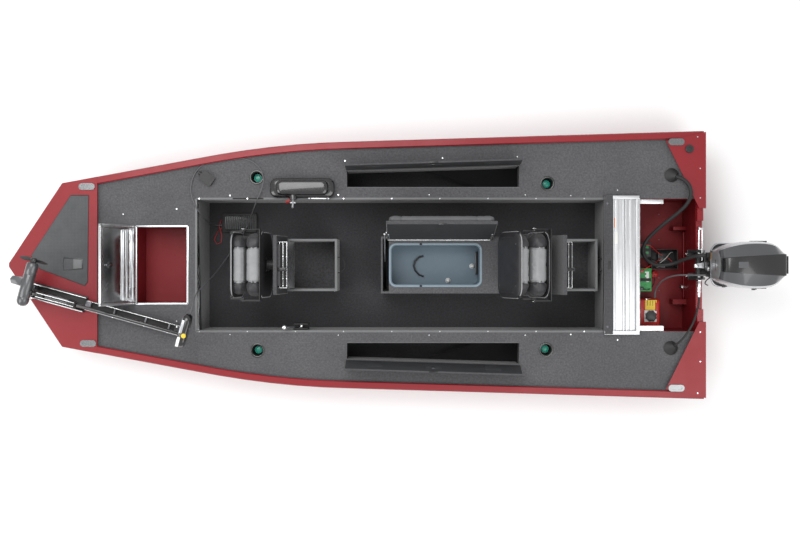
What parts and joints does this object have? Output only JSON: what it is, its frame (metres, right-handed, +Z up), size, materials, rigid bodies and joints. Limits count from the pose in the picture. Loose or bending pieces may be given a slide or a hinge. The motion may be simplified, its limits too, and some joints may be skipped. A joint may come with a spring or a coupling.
{
  "type": "fishing boat",
  "caption": "Open aluminium fishing boat with two folding seats, livewell, rod lockers, outboard engine and bow trolling motor.",
  "frame": {"origin": "centreline at the waterline, midway between the transom and the tip of the bow", "axes": "+X forward to the bow, +Y to port, +Z up"},
  "size_m": [5.715, 2.002, 1.393],
  "materials": {
    "hull_paint": "gloss",
    "bare_aluminium": "satin",
    "deck_carpet": "matte",
    "lid_carpet": "matte",
    "seat_vinyl": "satin",
    "black_plastic": "matte",
    "console_gloss": "gloss",
    "tub_plastic": "satin",
    "chrome_fitting": "polished",
    "engine_paint": "gloss",
    "engine_silver": "satin",
    "tank_red": "satin",
    "battery_case": "matte",
    "strut_steel": "satin",
    "bracket_black": "satin",
    "cable_rubber": "matte",
    "locker_liner": "matte",
    "liner_red": "satin"
  },
  "bodies": {
    "boat": {"hull_bottom": "bare_aluminium", "hull_sides": "hull_paint", "transom": "hull_paint", "gunwale_rails": "hull_paint", "bow_cap": "hull_paint", "bow_deck": "deck_carpet", "bow_hatch_tray": "liner_red", "bulkheads": "deck_carpet", "cockpit_floor": "deck_carpet", "side_decks": "deck_carpet", "cockpit_walls": "deck_carpet", "rod_lockers": "locker_liner", "aft_deck": "deck_carpet", "well_sides": "liner_red", "light_socket": "black_plastic", "cup_holders": "black_plastic", "cleats": "chrome_fitting", "tow_eyes": "chrome_fitting", "seat_box_fore": "deck_carpet", "seat_box_aft": "deck_carpet", "livewell_box": "deck_carpet", "livewell_basin": "tub_plastic", "batteries": "battery_case", "fuel_tank": "tank_red", "deck_sockets": "black_plastic", "control_console": "console_gloss", "foot_pedal": "black_plastic", "clamp_bracket": "bracket_black", "troll_mount": "bracket_black", "pedal_cable": "cable_rubber", "rigging_hose": "cable_rubber", "fuel_hose": "cable_rubber", "steering_cable": "cable_rubber"},
    "bow_hatch": {"bow_hatch_lid": "bare_aluminium"},
    "stern_hatch": {"stern_hatch_lid": "bare_aluminium"},
    "port_rod_lid": {"rod_lid_port": "lid_carpet"},
    "starboard_rod_lid": {"rod_lid_starboard": "lid_carpet"},
    "livewell_cover": {"livewell_lid": "lid_carpet", "livewell_pad": "seat_vinyl"},
    "strut_lower": {"strut_cylinder": "bracket_black"},
    "strut_upper": {"strut_rod": "strut_steel"},
    "fore_lid": {"seat_lid_fore": "lid_carpet"},
    "fore_seat": {"seat_pan_fore": "black_plastic", "seat_cushion_fore": "seat_vinyl"},
    "fore_back": {"seat_back_fore": "seat_vinyl"},
    "aft_lid": {"seat_lid_aft": "lid_carpet"},
    "aft_seat": {"seat_pan_aft": "black_plastic", "seat_cushion_aft": "seat_vinyl"},
    "aft_back": {"seat_back_aft": "seat_vinyl"},
    "stick": {"steering_stick": "chrome_fitting"},
    "engine_swivel": {"swivel_bracket": "bracket_black"},
    "engine": {"outboard_leg": "engine_paint", "cowl": "engine_paint", "lower_cowl": "engine_silver", "engine_block": "engine_silver"},
    "engine_propeller": {"outboard_propeller": "engine_silver"},
    "troll_swing": {"troll_arm": "bare_aluminium"},
    "troll_tube": {"troll_shaft": "black_plastic"},
    "troll_turn": {"troll_pod": "engine_paint"},
    "troll_blades": {"troll_propeller": "black_plastic"}
  },
  "joints": [
    {"name": "bow_hatch_hinge", "type": "hinge", "parent": "boat", "child": "bow_hatch", "pos_m": [1.661, 0, 0.388], "axis": [0, 1, 0], "range_deg": [-114, 0]},
    {"name": "stern_hatch_hinge", "type": "hinge", "parent": "boat", "child": "stern_hatch", "pos_m": [-2.11, 0, 0.388], "axis": [0, 1, 0], "range_deg": [-180, 0]},
    {"name": "port_rod_hinge", "type": "hinge", "parent": "boat", "child": "port_rod_lid", "pos_m": [0.087, 0.712, 0.381], "axis": [-0.9995, 0.031, 0], "range_deg": [-108, 0]},
    {"name": "starboard_rod_hinge", "type": "hinge", "parent": "boat", "child": "starboard_rod_lid", "pos_m": [0.087, -0.712, 0.381], "axis": [0.9995, 0.031, 0], "range_deg": [-97, 0]},
    {"name": "livewell_hinge", "type": "hinge", "parent": "boat", "child": "livewell_cover", "pos_m": [-0.63, -0.19, 0.288], "axis": [1, 0, 0], "range_deg": [-105, 0]},
    {"name": "strut_swing", "type": "hinge", "parent": "boat", "child": "strut_lower", "pos_m": [-0.207, 0.172, -0.005], "axis": [1, 0, 0], "range_deg": [-6.9, 0]},
    {"name": "strut_stroke", "type": "slide", "parent": "strut_lower", "child": "strut_upper", "axis": [0, -0.6652, 0.7466], "range_m": [-0.2311, 0]},
    {"name": "fore_lid_hinge", "type": "hinge", "parent": "boat", "child": "fore_lid", "pos_m": [0.528, 0, 0.302], "axis": [0, 1, 0], "range_deg": [-96, 0]},
    {"name": "fore_seat_swivel", "type": "hinge", "parent": "fore_lid", "child": "fore_seat", "pos_m": [0.60858, 0, 0.49463], "axis": [0.9945, 0, -0.1045], "continuous": true},
    {"name": "fore_back_fold", "type": "hinge", "parent": "fore_seat", "child": "fore_back", "pos_m": [0.80907, 0, 0.67064], "axis": [0, 1, 0], "range_deg": [-100, 0]},
    {"name": "aft_lid_hinge", "type": "hinge", "parent": "boat", "child": "aft_lid", "pos_m": [-1.37, 0, 0.302], "axis": [0, 1, 0], "range_deg": [-70, 0]},
    {"name": "aft_seat_swivel", "type": "hinge", "parent": "aft_lid", "child": "aft_seat", "pos_m": [-1.38202, 0, 0.51046], "axis": [0.9397, 0, 0.342], "continuous": true},
    {"name": "aft_back_fold", "type": "hinge", "parent": "aft_seat", "child": "aft_back", "pos_m": [-1.27897, 0, 0.75655], "axis": [0, 1, 0], "range_deg": [-100, 0]},
    {"name": "engine_tilt", "type": "hinge", "parent": "boat", "child": "engine_swivel", "pos_m": [-2.545, 0, 0.425], "axis": [0, 1, 0], "range_deg": [0, 60], "deforming": ["rigging_hose", "fuel_hose"]},
    {"name": "engine_steer", "type": "hinge", "parent": "engine_swivel", "child": "engine", "pos_m": [-2.692, 0, 0.44], "axis": [0, 0, 1], "range_deg": [-30, 30]},
    {"name": "engine_shaft", "type": "hinge", "parent": "engine", "child": "engine_propeller", "pos_m": [-2.96, 0, -0.318], "axis": [1, 0, 0], "continuous": true},
    {"name": "stick_pivot", "type": "hinge", "parent": "boat", "child": "stick", "pos_m": [0.427, 0.462, 0.27], "axis": [0, 1, 0], "range_deg": [-30, 30]},
    {"name": "troll_deploy", "type": "hinge", "parent": "boat", "child": "troll_swing", "pos_m": [2.4, 0.19, 0.45], "axis": [-0.2672, -0.9636, 0], "range_deg": [-90, 0]},
    {"name": "troll_depth", "type": "slide", "parent": "troll_swing", "child": "troll_tube", "axis": [0.9636, -0.2672, 0], "range_m": [0, 0.55]},
    {"name": "troll_steer", "type": "hinge", "parent": "troll_tube", "child": "troll_turn", "pos_m": [2.4, 0.19, 0.61], "axis": [0.9636, -0.2672, 0], "range_deg": [-180, 0]},
    {"name": "troll_shaft_spin", "type": "hinge", "parent": "troll_turn", "child": "troll_blades", "pos_m": [2.34228, -0.01814, 0.61], "axis": [0.2672, 0.9636, 0], "continuous": true}
  ],
  "couplings": [
    {"joint": "strut_swing", "follows": "livewell_hinge", "ratio": 0.065682},
    {"joint": "strut_stroke", "follows": "livewell_hinge", "m_per_rad": 0.12611},
    {"joint": "stick_pivot", "follows": "engine_steer", "ratio": 1},
    {"joint": "troll_depth", "follows": "troll_deploy", "m_per_rad": -0.35014}
  ]
}
